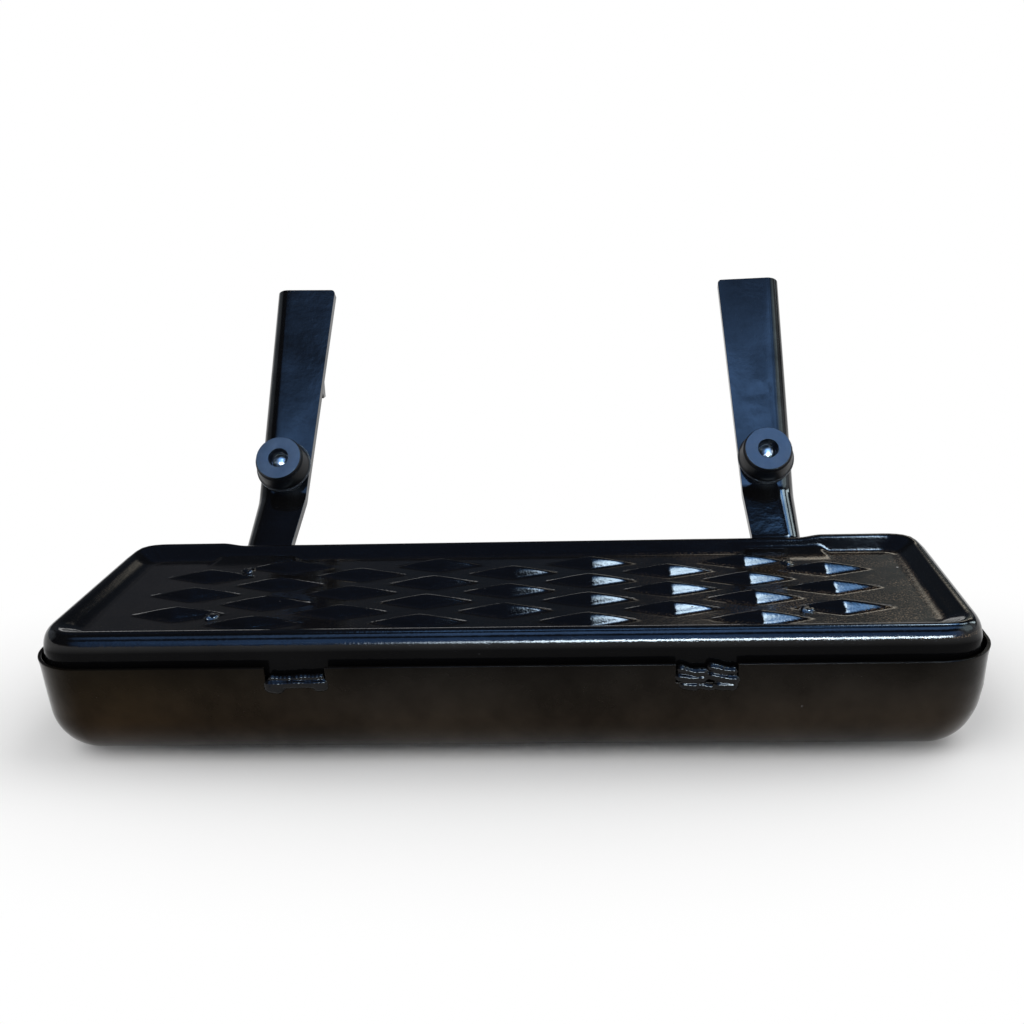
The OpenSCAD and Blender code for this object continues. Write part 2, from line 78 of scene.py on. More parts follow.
ARM_WIDTHS = (24.5, 24.5, 24.5, 26.5, 32.7)
ARM_FLANGES = (6.4, 6.4, 8.5, 15.0, 27.5)
ARM_RADII = (0.0, 10.0, 12.0, 12.0, 0.0)
ARM_SLOPES = [math.radians(a) for a in (0, 8, 32, 52)]
ARM_GAP = 0.25
FOOT_REACH, EXIT_Y, EXIT_Z = 38.0, 2.6, 1.6
LOWER_LEN, UPPER_LEN = 33.0, 122.0
END_SKEW, END_CORNER_R = math.radians(1.5), 2.0
PLUG_R, PLUG_CROWN, PLUG_YS = 3.5, 0.9, (-27.5, 28.9)
BUFFER_UP, BUFFER_R, BUFFER_TIP_R, BUFFER_H = 16.2, 13.8, 11.5, 12.0
RECESS_R, RECESS_FLOOR = 5.0, 5.0
WASHER_R, WASHER_T, SCREW_R, HEAD_R, HEAD_H = 4.75, 1.0, 3.0, 4.3, 2.9

# The camera, in the tread's frame
CAMERA_AT = (45.9, -493.3, 188.3)
CAMERA_YAW, CAMERA_PITCH, CAMERA_ROLL = (math.radians(a) for a in (-3.22, 15.9, -1.89))
FOCAL_PX, FRAME_PX, SENSOR_MM = 1200.0, 1024.0, 36.0
AXIS_PX = (547.7, 485.1)

tread_low, tread_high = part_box("tread_plate")
FRAME_AT = Vector((0, (tread_low.y + tread_high.y) / 2, tread_high.z - RIM_H / 1000))


def placed(points):
    """Points in the tread's frame in millimetres, as points in the step's frame in metres."""
    return np.asarray(points, float) / 1000 + np.array(FRAME_AT)


# Shape helpers

def new_piece(name, points, faces, material, body="step", smooth_angle=35, bevel=0):
    """A mesh piece from points in millimetres in the tread's frame."""
    mesh = bpy.data.meshes.new(name)
    mesh.from_pydata([tuple(p) for p in placed(points)], [], faces)
    mesh.validate()
    return finished(bpy.data.objects.new(name, mesh), material, body, smooth_angle, bevel)


def finished(piece, material, body="step", smooth_angle=35, bevel=0):
    """Welds doubles, turns the faces outward, rounds the edges and gives the piece its material."""
    mesh = piece.data
    if piece.name not in bpy.context.scene.collection.objects:
        bpy.context.scene.collection.objects.link(piece)
    bm = bmesh.new()
    bm.from_mesh(mesh)
    bmesh.ops.remove_doubles(bm, verts=bm.verts, dist=1e-6)
    bmesh.ops.recalc_face_normals(bm, faces=bm.faces)
    for face in bm.faces:
        face.smooth = True
    for edge in bm.edges:
        if len(edge.link_faces) == 2 and edge.calc_face_angle(0) > math.radians(smooth_angle):
            edge.smooth = False
    bm.to_mesh(mesh)
    bm.free()
    if bevel:
        mod = piece.modifiers.new("edges", "BEVEL")
        mod.width = bevel / 1000
        mod.segments = 2
        mod.limit_method = "ANGLE"
        mod.angle_limit = math.radians(40)
        mod.harden_normals = True
    mesh.materials.clear()
    mesh.materials.append(material)
    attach(piece, body)
    return piece


def loop_faces(rows, columns, closed_rows=False, closed_columns=True, first=0):
    """Quads between rows of points, each row holding as many points as there are columns."""
    faces = []
    for r in range(rows if closed_rows else rows - 1):
        a, b = first + r * columns, first + (r + 1) % rows * columns
        for c in range(columns if closed_columns else columns - 1):
            d = (c + 1) % columns
            faces.append((a + c, a + d, b + d, b + c))
    return faces


def soft_max(a, b, k):
    """The larger of two heights, with the corner between them rounded over a height of k."""
    h = np.maximum(k - np.abs(a - b), 0) / k
    return np.maximum(a, b) + h * h * k / 4


def spread(stops, step):
    """Values through all the stops, no further apart than the step."""
    values = [stops[0]]
    for a, b in zip(stops, stops[1:]):
        n = max(1, math.ceil((b - a) / step - 1e-9))
        values += [a + (b - a) * i / n for i in range(1, n + 1)]
    return np.array(values)


# Tread plate

RIM_REACH = RIM_W + RIM_R
FLOOR_HALF = np.array([TREAD_L / 2 - RIM_REACH, TREAD_D / 2 - RIM_REACH])
RIM_CENTRE_Z = RIM_H - RIM_R
RIM_SLOPE = math.atan2(RIM_CENTRE_Z, RIM_W) + math.asin(RIM_R / math.hypot(RIM_W, RIM_CENTRE_Z))
FOOT_X = ARM_OUTER_X - ARM_WIDTHS[0] / 2
EXIT_P = np.array([TREAD_D / 2 + EXIT_Y, EXIT_Z])
RAMP_Y = EXIT_P[0] - (EXIT_Z + 2) / math.tan(ARM_SLOPES[1])
CREST_CORE = FLOOR_HALF - FLOOR_CORNER_R
CREST_R = FLOOR_CORNER_R + RIM_W


def beyond_floor(x, y):
    """Distance of a point outside the floor's rounded rectangle."""
    qx, qy = np.abs(x) - CREST_CORE[0], np.abs(y) - CREST_CORE[1]
    return np.hypot(np.maximum(qx, 0), np.maximum(qy, 0)) + np.minimum(np.maximum(qx, qy), 0) - FLOOR_CORNER_R


def rim_height(s):
    """Height of the rolled rim at a distance s beyond the floor's edge."""
    crest = RIM_CENTRE_Z + np.sqrt(np.maximum(RIM_R ** 2 - (s - RIM_W) ** 2, 0))
    tangent_s = RIM_W - RIM_R * math.sin(RIM_SLOPE)
    slope = s * math.tan(RIM_SLOPE)
    return soft_max(np.where(s < tangent_s, slope, crest), 0 * s, 0.55)


def stud_height(x, y):
    """Height of the pressed studs, set in columns and rows like the squares of a chessboard."""
    height = -5.0 + 0 * x
    for column in range(-4, 5):
        for row in range(-3, 4):
            if (column + row) % 2 == 0:
                dx = np.sqrt((x - column * STUD_PITCH[0]) ** 2 + 0.2) / (STUD_L / 2)
                dy = np.sqrt((y - row * STUD_PITCH[1] + STUD_SHIFT) ** 2 + 0.12) / (STUD_W / 2)
                t = 1.04 - dx ** 1.08 - dy
                height = np.maximum(height, STUD_H * (t + 0.28 * t * (1 - t)))
    return height


def swage_height(x, y):
    """Height of the shallow ramps over the two arms."""
    climb = (y - RAMP_Y) * math.tan(ARM_SLOPES[1])
    sides = (ARM_WIDTHS[0] / 2 + 9 - np.abs(np.abs(x) - FOOT_X)) * 0.44
    return -soft_max(-climb, -sides, 0.5)


def tread_height(x, y):
    """Height of the tread's upper face, up to the crest of its rim."""
    rim = rim_height(beyond_floor(x, y))
    top = soft_max(rim, stud_height(x, y), 0.75)
    top = soft_max(top, swage_height(x, y), 0.5)
    waves = np.sin(x / 23 + 1.3) * np.sin(y / 17 + 0.4) + 0.6 * np.sin(x / 41 - y / 29)
    return top + 0.05 * waves * np.clip(1 - rim / RIM_H, 0, 1)


def crest_grid(xs, across):
    """A grid inside the rim's crest: columns at xs, each with the same rows across it."""
    over = np.maximum(np.abs(xs) - CREST_CORE[0], 0)
    half = CREST_CORE[1] + np.sqrt(np.maximum(CREST_R ** 2 - over ** 2, 0))
    return np.repeat(xs[:, None], len(across), 1), half[:, None] * across[None, :]


def crest_loop(nx, ny):
    """Indices of a grid's border, once round from its first corner."""
    return (
        [i * ny for i in range(nx)] + [(nx - 1) * ny + j for j in range(1, ny)]
        + [i * ny + ny - 1 for i in range(nx - 2, -1, -1)] + [j for j in range(ny - 2, 0, -1)]
    )


def outward(x, y, core):
    """Unit vectors in plan from a rounded rectangle's core to the points of its edge."""
    v = np.stack([x - np.clip(x, -core[0], core[0]), y - np.clip(y, -core[1], core[1])], -1)
    return v / np.linalg.norm(v, axis=-1, keepdims=True)


def smooth(t):
    """0 to 1 with level ends, for t from 0 to 1."""
    t = np.clip(t, 0, 1)
    return t * t * (3 - 2 * t)


def right_stretch(x):
    """How far the right end of the tread and pan reaches past its place in the part."""
    return RIGHT_STRETCH * smooth((x - 140) / 50)


def fuller_corners(points):
    """Moves the rim's four corners out in plan, where its bend is tighter than the floor's."""
    qx, qy = np.abs(points[:, 0]) - CREST_CORE[0], np.abs(points[:, 1]) - CREST_CORE[1]
    reach = np.hypot(qx, qy)
    inside = (qx > 0) & (qy > 0)
    bulge = np.where(inside, (2 * qx * qy / np.maximum(reach, 1e-6) ** 2) ** 2, 0)
    bulge *= CORNER_BULGE * smooth((reach - FLOOR_CORNER_R) / RIM_W) * np.clip((points[:, 2] + SKIRT_H) / 12, 0, 1)
    points[:, 0] += np.sign(points[:, 0]) * bulge * qx / np.maximum(reach, 1e-6)
    points[:, 1] += np.sign(points[:, 1]) * bulge * qy / np.maximum(reach, 1e-6)


def tread_plate(material):
    slot_xs = [FOOT_X - ARM_WIDTHS[0] / 2 - ARM_GAP, FOOT_X + ARM_WIDTHS[0] / 2 + ARM_GAP]
    arc = [CREST_CORE[0] + CREST_R * math.sin(a) for a in np.radians(np.arange(10, 91, 10))]
    half_xs = np.concatenate([spread([0] + slot_xs + [CREST_CORE[0]], 0.93), arc])
    extra = (1 - len(half_xs)) % 3
    half_xs = np.concatenate([np.linspace(0, slot_xs[0], int(round(slot_xs[0] / 0.93)) + 1 + extra),
                              half_xs[half_xs > slot_xs[0] + 1e-6]])
    while (len(half_xs) - 1) % 3:
        half_xs = np.insert(half_xs, 1, half_xs[1] / 2)
    xs = np.concatenate([-half_xs[:0:-1], half_xs])
    across = np.linspace(-1, 1, 109)
    gx, gy = crest_grid(xs, across)
    points = [np.stack([gx, gy, tread_height(gx, gy)], -1).reshape(-1, 3)]
    nx, ny = gx.shape
    faces = [
        (i * ny + j, (i + 1) * ny + j, (i + 1) * ny + j + 1, i * ny + j + 1)
        for i in range(nx - 1) for j in range(ny - 1)
    ]
    border = crest_loop(nx, ny)
    bx, by = gx.reshape(-1)[border], gy.reshape(-1)[border]
    n = outward(bx, by, CREST_CORE)
    fall_z = RIM_H - RIM_FALL
    slot_top = math.asin((EXIT_Z + ARM_GAP - 0.3 - fall_z) / RIM_FALL)
    turns = [math.radians(a) for a in (82, 74, 66, 58, 50)] + [slot_top] + [math.radians(a) for a in (34, 23, 11, 0)]
    outer = [(RIM_R * math.cos(a), fall_z + RIM_FALL * math.sin(a)) for a in turns]
    outer += [(RIM_R, -7.0), (RIM_R, -13.0), (RIM_R, -SKIRT_H + 0.4), (RIM_R - 0.4, -SKIRT_H)]
    inner_r, inner_fall = RIM_R - TREAD_T, RIM_FALL - TREAD_T
    inner = [(inner_r * math.cos(a), fall_z + inner_fall * math.sin(a)) for a in turns]
    inner += [(inner_r, -7.0), (inner_r, -13.0), (inner_r, -SKIRT_H + 0.4), (inner_r + 0.4, -SKIRT_H)]

    def ring(offset, z):
        return np.stack([bx + offset * n[:, 0], by + offset * n[:, 1], 0 * bx + z], -1)

    count = len(border)
    first = nx * ny
    for offset, z in outer + inner:
        points.append(ring(offset, z))
    points.append(ring(0, RIM_H - TREAD_T))
    rows = len(outer)
    slot_row = turns.index(slot_top)
    in_slot = (by > 0) & (np.abs(np.abs(bx) - FOOT_X) < (slot_xs[1] - slot_xs[0]) / 2 + 1e-3)

    def at(row, c):
        return first + row * count + c % count

    for c in range(count):
        d = c + 1
        cut = in_slot[c] and in_slot[d % count]
        faces.append((border[c], border[d % count], at(0, d), at(0, c)))
        faces.append((at(2 * rows, c), at(2 * rows, d), at(rows, d), at(rows, c)))
        for side in (0, rows):
            for r in range(rows - 1):
                if not (cut and r >= slot_row):
                    faces.append((at(side + r, c), at(side + r, d), at(side + r + 1, d), at(side + r + 1, c)))
        if cut:
            faces.append((at(slot_row, c), at(slot_row, d), at(rows + slot_row, d), at(rows + slot_row, c)))
        else:
            faces.append((at(rows - 1, c), at(rows - 1, d), at(2 * rows - 1, d), at(2 * rows - 1, c)))
        if in_slot[c] and not (in_slot[(c - 1) % count] and in_slot[d % count]):
            for r in range(slot_row, rows - 1):
                faces.append((at(r, c), at(r + 1, c), at(rows + r + 1, c), at(rows + r, c)))
    # Underside of the floor, on every third line of the grid
    ux, uy = gx[::3, ::3], gy[::3, ::3]
    unx, uny = ux.shape
    below = first + (2 * rows + 1) * count
    points.append(np.stack([ux, uy, tread_height(ux, uy) - TREAD_T], -1).reshape(-1, 3))
    faces += [
        (below + i * uny + j, below + (i + 1) * uny + j, below + (i + 1) * uny + j + 1, below + i * uny + j + 1)
        for i in range(unx - 1) for j in range(uny - 1)
    ]
    coarse = crest_loop(unx, uny)
    for k, index in enumerate(coarse):
        after = coarse[(k + 1) % len(coarse)]
        faces.append([at(2 * rows, 3 * k + m) for m in range(4)] + [below + after, below + index])
    points = np.concatenate(points)
    fuller_corners(points)
    outside = smooth((np.abs(points[:, 0]) - 133) / 12) * np.clip((points[:, 1] - FLOOR_HALF[1]) / 6, 0, 1)
    points[:, 1] += 1.5 * outside * np.clip((points[:, 2] + SKIRT_H) / 12, 0, 1)
    points[:, 2] += 0.9 * outside * np.clip((points[:, 2] + SKIRT_H) / 12, 0, 1)
    points[:, 0] += right_stretch(points[:, 0])
    piece = new_piece("tread_plate_pressed", points, faces, material, smooth_angle=50)
    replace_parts(piece, "tread_plate")
    return piece


# Lower pan

def pan_outline(nx_step=2.5, turn_step=6):
    """Points round the pan's top edge and their outward directions, with the notches' sides among them."""
    half = np.array([TREAD_L / 2 + PAN_OUT, TREAD_D / 2 + PAN_OUT])
    r = TREAD_L / 2 + PAN_OUT - CREST_CORE[0]
    core = half - r
    sides = [NOTCH_X - NOTCH_W / 2, NOTCH_X + NOTCH_W / 2]
    xs = spread([-core[0], -sides[1], -sides[0], sides[0], sides[1], core[0]], nx_step)
    ys = spread([-core[1], core[1]], nx_step)
    turns = np.radians(np.arange(turn_step, 90, turn_step))
    edge = [(x, -half[1], 0, -1) for x in xs]
    edge += [(core[0] + r * math.sin(a), -core[1] - r * math.cos(a), math.sin(a), -math.cos(a)) for a in turns]
    edge += [(half[0], y, 1, 0) for y in ys]
    edge += [(core[0] + r * math.cos(a), core[1] + r * math.sin(a), math.cos(a), math.sin(a)) for a in turns]
    edge += [(-x, half[1], 0, 1) for x in xs]
    edge += [(-core[0] - r * math.sin(a), core[1] + r * math.cos(a), -math.sin(a), math.cos(a)) for a in turns]
    edge += [(-half[0], -y, -1, 0) for y in ys]
    edge += [(-core[0] - r * math.cos(a), -core[1] - r * math.sin(a), -math.cos(a), -math.sin(a)) for a in turns]
    return np.array(edge)


def pan_profile(inset):
    """Profile of the pan's wall as (outward, up), from its top edge down to the flat underside."""
    top, low = -PAN_DROP, -PAN_DROP - PAN_H
    arc_z = low + PAN_BOTTOM_R
    arc_u = ((arc_z - top) * math.sin(PAN_DRAFT) - PAN_BOTTOM_R) / math.cos(PAN_DRAFT)
    r = PAN_BOTTOM_R - inset
    profile = []
    for z in (top, top - 1.2, top - 2.6, top - 4.2, top - NOTCH_H, top - 12, top - 17):
        lip = 0.35 * max(0.0, 1 - (top - z) / 4.2)
        profile.append((-(top - z) * math.tan(PAN_DRAFT) - inset + lip, z))
    for k in range(19):
        a = -PAN_DRAFT - (math.pi / 2 - PAN_DRAFT) * k / 18
        profile.append((arc_u + r * math.cos(a), arc_z + r * math.sin(a)))
    return profile


def lower_pan(material):
    edge = pan_outline()
    outer, inner = pan_profile(0), pan_profile(PAN_T)
    rows, count = len(outer), len(edge)
    along = np.cumsum(np.hypot(*np.diff(edge[:, :2], axis=0, prepend=edge[-1:, :2]).T))
    points = []
    for profile in (outer, inner):
        for u, z in profile:
            depth = min(1.0, (-PAN_DROP - z) / 12)
            wave = depth * (0.16 * np.sin(along / 37 + z / 30) + 0.1 * np.sin(along / 17 - z / 13 + 1))
            points.append(np.stack([
                edge[:, 0] + (u + wave) * edge[:, 2], edge[:, 1] + (u + wave) * edge[:, 3], 0 * along + z
            ], -1))
    notch_row = 4
    in_notch = (np.abs(edge[:, 3]) > 0.99) & (np.abs(np.abs(edge[:, 0]) - NOTCH_X) < NOTCH_W / 2 + 1e-3)
    faces = []

    def at(row, c):
        return row * count + c % count

    for c in range(count):
        d = c + 1
        cut = in_notch[c] and in_notch[d % count]
        for side in (0, rows):
            for r in range(rows - 1):
                if not (cut and r < notch_row):
                    faces.append((at(side + r, c), at(side + r, d), at(side + r + 1, d), at(side + r + 1, c)))
        lip = notch_row if cut else 0
        faces.append((at(lip, c), at(lip, d), at(rows + lip, d), at(rows + lip, c)))
        if in_notch[c] and not (in_notch[(c - 1) % count] and in_notch[d % count]):
            for r in range(notch_row):
                faces.append((at(r, c), at(r + 1, c), at(rows + r + 1, c), at(rows + r, c)))
    faces.append([at(rows - 1, c) for c in range(count)])
    faces.append([at(2 * rows - 1, c) for c in range(count)])
    points = np.concatenate(points)
    points[:, 0] += right_stretch(points[:, 0]) * np.clip((points[:, 2] + 38) / 12, 0, 1)
    piece = new_piece("lower_pan_pressed", points, faces, material, smooth_angle=50, bevel=0.45)
    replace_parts(piece, "lower_pan")
    return piece


# Arms

def along_dir(a):
    return np.array([math.cos(a), math.sin(a)])


def normal_dir(a):
    return np.array([-math.sin(a), math.cos(a)])


RAMP_P = np.array([RAMP_Y, -2.0])
BEND_P = EXIT_P + LOWER_LEN * along_dir(ARM_SLOPES[2])
TOP_P = BEND_P + UPPER_LEN * along_dir(ARM_SLOPES[3])
ARM_CORNERS = [np.array([-FOOT_REACH, -2.0]), RAMP_P, EXIT_P, BEND_P, TOP_P]


def arm_stations():
    """(face point, slope, width, flange depth, edge radius) along an arm."""
    stations = []
    slopes = [0.0] + ARM_SLOPES
    for i, corner in enumerate(ARM_CORNERS):
        before, after, r = slopes[i], ARM_SLOPES[min(i, 3)], ARM_RADII[i]
        turn = after - before
        steps = max(1, round(math.degrees(turn) / 2)) if r else 0
        centre = corner + r * (normal_dir(before) - math.tan(turn / 2) * along_dir(before))
        for k in range(steps + 1):
            a = before + turn * k / steps if r else after
            p = centre - r * normal_dir(a) if r else corner
            stations.append((p, a, ARM_WIDTHS[i], ARM_FLANGES[i], ARM_EDGES[i]))
    fine = [stations[0]]
    for s, t in zip(stations, stations[1:]):
        n = max(1, math.ceil(np.linalg.norm(t[0] - s[0]) / 4))
        fine += [tuple(a + (b - a) * k / n for a, b in zip(s, t)) for k in range(1, n + 1)]
    return fine


def arm_section(width, flange, r):
    """Closed section as (depth behind the face, distance in from the outer face)."""
    inner_r = r - ARM_T
    section = [(ARM_T, width)]
    section += [(0, width - w) for w in (0, 0.15, 0.5, 1.0, 1.6, 2.4)]
    section += [(0, width - 2.4 + (r - width + 2.4) * k / 8) for k in range(1, 8)]
    turns = np.radians(np.arange(0, 91, 7.5))
    section += [(r - r * math.cos(a), r - r * math.sin(a)) for a in turns]
    section += [(flange, 0), (flange, ARM_T)]
    section += [(r - inner_r * math.sin(a), r - inner_r * math.cos(a)) for a in turns[::2]]
    return np.array(section)


def arm(side, material, ripples):
    """One arm. Ripples are (along from the bend, in from the outer face, length, height) on its face."""
    sign = -1 if side == "left" else 1
    stations = arm_stations()
    points = []
    for p, a, width, flange, edge_r in stations:
        up = max(0.0, float(np.dot(p - BEND_P, along_dir(ARM_SLOPES[3]))))
        for d, w in arm_section(width, max(flange, edge_r + 0.3), edge_r):
            slide = 0.0
            if up > 0:
                room = max(0.0, END_CORNER_R - (width - w))
                corner = END_CORNER_R - math.sqrt(max(END_CORNER_R ** 2 - room ** 2, 0))
                slide = -(w * math.tan(END_SKEW) + corner) * up / UPPER_LEN
            lift = 0.0
            if d < ARM_T - 0.1:
                lift = sum(
                    h * math.exp(-(((up - u) / n) ** 2) - ((w - v) / (1.6 * n)) ** 2) for u, v, n, h in ripples
                )
            q = p - (d - lift) * normal_dir(a) + slide * along_dir(a)
            points.append((sign * (ARM_OUTER_X - w), q[0], q[1]))
    n = len(arm_section(20, 10, 6))
    faces = loop_faces(len(stations), n)
    faces.append(list(range(n)))
    faces.append([(len(stations) - 1) * n + i for i in range(n)])
    piece = new_piece(f"arm_{side}_folded", points, faces, material, smooth_angle=30, bevel=0.45)
    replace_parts(piece, f"arm_{side}")
    return piece


# Round parts on the arms' upper faces

def turned(name, profile, at, tilt, material, steps=64, smooth_angle=30, bevel=0):
    """A turned piece: profile as (radius, height), from the axis or closed round a hole."""
    closed = min(r for r, z in profile) > 0.01
    rows = []
    for r, z in profile:
        for k in range(steps):
            a = 2 * math.pi * k / steps
            rows.append((r * math.cos(a), r * math.sin(a), z))
    local = np.array(rows) @ np.array(tilt.to_matrix()).T + np.array(at)
    faces = loop_faces(len(profile), steps, closed_rows=closed)
    return new_piece(name, local, faces, material, smooth_angle=smooth_angle, bevel=bevel)


def buffer_place(side, height=0.0):
    """Place on the arm's upper face, that high above it, and the tilt of that face."""
    sign = -1 if side == "left" else 1
    width = ARM_WIDTHS[3] + (ARM_WIDTHS[4] - ARM_WIDTHS[3]) * BUFFER_UP / UPPER_LEN
    p = BEND_P + BUFFER_UP * along_dir(ARM_SLOPES[3]) + height * normal_dir(ARM_SLOPES[3])
    return (sign * (ARM_OUTER_X - width / 2), p[0], p[1]), Euler((ARM_SLOPES[3], 0, 0))


def rounded(corners, radius, steps=4):
    """A turned profile with each corner rounded, apart from the first and last."""
    corners = [np.array(c, float) for c in corners]
    out = [corners[0]]
    for a, b, c in zip(corners, corners[1:], corners[2:]):
        u, v = (a - b) / np.linalg.norm(a - b), (c - b) / np.linalg.norm(c - b)
        start, end = b + u * radius, b + v * radius
        for k in range(steps + 1):
            t = k / steps
            out.append((1 - t) ** 2 * start + 2 * t * (1 - t) * b + t * t * end)
    return [tuple(p) for p in out + [corners[-1]]]


def buffer(side, rubber):
    at, tilt = buffer_place(side)
    bore = SCREW_R + 0.25
    groove = 1.3
    tip_z = BUFFER_H
    profile = rounded([
        (bore, 0), (BUFFER_R + 0.3, 0), (BUFFER_R + 0.3, 0.9), (BUFFER_R - 0.4, 1.5),
        (BUFFER_TIP_R + 0.7, tip_z - 2.3),
        (BUFFER_TIP_R - 0.1, tip_z - groove), (BUFFER_TIP_R - 0.1, tip_z),
        (RECESS_R, tip_z), (RECESS_R, RECESS_FLOOR), (bore, RECESS_FLOOR)
    ], 0.28)
    piece = turned(f"buffer_{side}_rubber", profile, at, tilt, rubber, steps=96)
    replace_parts(piece, f"buffer_{side}")


def buffer_fasteners(side, zinc):
    at, tilt = buffer_place(side, RECESS_FLOOR)
    washer = rounded([
        (SCREW_R, 0), (WASHER_R, 0), (WASHER_R, WASHER_T), (SCREW_R, WASHER_T)
    ], 0.2, 2)
    piece = turned(f"buffer_washer_{side}_disc", washer, at, tilt, zinc)
    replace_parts(piece, f"buffer_washer_{side}")
    at, tilt = buffer_place(side, RECESS_FLOOR + WASHER_T)
    dome_r = (HEAD_R ** 2 + HEAD_H ** 2) / (2 * HEAD_H)
    span = math.asin(HEAD_R / dome_r)
    tail = -(ARM_T + 6.5 + RECESS_FLOOR + WASHER_T)
    head = [(dome_r * math.sin(span * k / 12), HEAD_H - dome_r + dome_r * math.cos(span * k / 12)) for k in range(13)]
    profile = [(0.001, h) if r < 0.001 else (r, h) for r, h in head]
    profile += [(HEAD_R - 0.2, -0.02), (SCREW_R, -0.02), (SCREW_R, tail + 0.6), (SCREW_R - 0.6, tail), (0.001, tail)]
    piece = turned(f"buffer_screw_{side}_domed", profile, at, tilt, zinc)
    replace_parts(piece, f"buffer_screw_{side}")


# Welds

def lumps(name, blobs, material, voxel=0.32, squash=None):
    """Blobs of weld metal run together: each is a centre and its three radii."""
    bm = bmesh.new()
    for centre, radii in blobs:
        made = bmesh.ops.create_icosphere(bm, subdivisions=3, radius=1)
        scale = Matrix.Diagonal((*radii, 1))
        bmesh.ops.transform(bm, matrix=Matrix.Translation(centre) @ scale, verts=made["verts"])
    mesh = bpy.data.meshes.new(name)
    bm.to_mesh(mesh)
    bm.free()
    piece = bpy.data.objects.new(name, mesh)
    bpy.context.scene.collection.objects.link(piece)
    remesh = piece.modifiers.new("run_together", "REMESH")
    remesh.mode = "VOXEL"
    remesh.voxel_size = voxel
    soften = piece.modifiers.new("soften", "SMOOTH")
    soften.factor = 0.6
    soften.iterations = 6
    done = bpy.data.meshes.new_from_object(piece.evaluated_get(bpy.context.evaluated_depsgraph_get()))
    points = np.array([v.co for v in done.vertices])
    faces = [tuple(p.vertices) for p in done.polygons]
    bpy.data.objects.remove(piece)
    return new_piece(name, points, faces, material, smooth_angle=180)


def notch_weld(name, x, front, strokes, material):
    """Runs of weld in a notch: from (across, up) to (across, up) off its bottom, radius and unevenness."""
    y = -(TREAD_D / 2 + PAN_OUT / 2 + 0.4) if front else TREAD_D / 2 + PAN_OUT / 2 + 0.4
    z = -PAN_DROP - NOTCH_H
    blobs = []
    for u0, v0, u1, v1, r, uneven in strokes:
        n = max(1, round(math.hypot(u1 - u0, v1 - v0) / 1.6))
        for k in range(n + 1):
            t = k / n
            swell = r * (1 + 0.3 * uneven * math.sin(1.3 * k + 3 * u0))
            rise = uneven * math.sin(0.9 * k + u0)
            centre = (x + u0 + (u1 - u0) * t, y, z + v0 + (v1 - v0) * t + rise)
            blobs.append((centre, (1.25 * swell, 1.05 * swell, swell)))
    piece = lumps(f"{name}_bead", blobs, material)
    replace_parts(piece, name)


def plug_welds(side, material):
    sign = -1 if side == "left" else 1
    blobs = []
    for k, y in enumerate(PLUG_YS):
        x = sign * FOOT_X
        blobs.append(((x, y, -0.6), (PLUG_R, PLUG_R, 1.7)))
        for m in range(5):
            a = 1.9 * m + k + (0.5 if side == "left" else 0)
            at = (x + 2.1 * math.cos(a), y + 2.1 * math.sin(a), 0.0)
            blobs.append((at, (1.6, 1.4, 1.0 + 0.15 * (m % 3))))
    piece = lumps(f"plug_welds_{side}_domes", blobs, material, voxel=0.25)
    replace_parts(piece, f"plug_welds_{side}")


# Materials

def nodes_of(name):
    material = bpy.data.materials.new(name)
    material.use_nodes = True
    tree = material.node_tree
    return material, tree, tree.nodes["Principled BSDF"]


def add(tree, kind, inputs=None, **settings):
    """A node with its settings, its inputs set or linked by name or place."""
    node = tree.nodes.new(kind)
    for key, value in settings.items():
        setattr(node, key, value)
    for key, value in (inputs or {}).items():
        if isinstance(value, bpy.types.NodeSocket):
            tree.links.new(value, node.inputs[key])
        else:
            node.inputs[key].default_value = value
    return node


def noise(tree, coords, scale, detail=2.0, roughness=0.5):
    return add(tree, "ShaderNodeTexNoise", {"Vector": coords, "Scale": scale, "Detail": detail,
                                            "Roughness": roughness}).outputs["Fac"]


def ramp(tree, value, low, high, to_low=0.0, to_high=1.0):
    return add(tree, "ShaderNodeMapRange", {0: value, 1: low, 2: high, 3: to_low, 4: to_high}).outputs[0]


def math_node(tree, operation, a, b=0.0):
    return add(tree, "ShaderNodeMath", {0: a, 1: b}, operation=operation).outputs[0]


def mixed(tree, factor, a, b):
    node = add(tree, "ShaderNodeMix", {0: factor}, data_type="RGBA")
    for socket, value in ((node.inputs[6], a), (node.inputs[7], b)):
        if isinstance(value, bpy.types.NodeSocket):
            tree.links.new(value, socket)
        else:
            socket.default_value = (*value, 1)
    return node.outputs[2]


def bumped(tree, shader, layers):
    """Bump layers as (height, distance in millimetres), chained into the shader's normal."""
    normal = None
    for height, distance in layers:
        inputs = {"Height": height, "Distance": distance / 1000, "Strength": 1.0}
        if normal is not None:
            inputs["Normal"] = normal
        normal = add(tree, "ShaderNodeBump", inputs).outputs["Normal"]
    tree.links.new(normal, shader.inputs["Normal"])


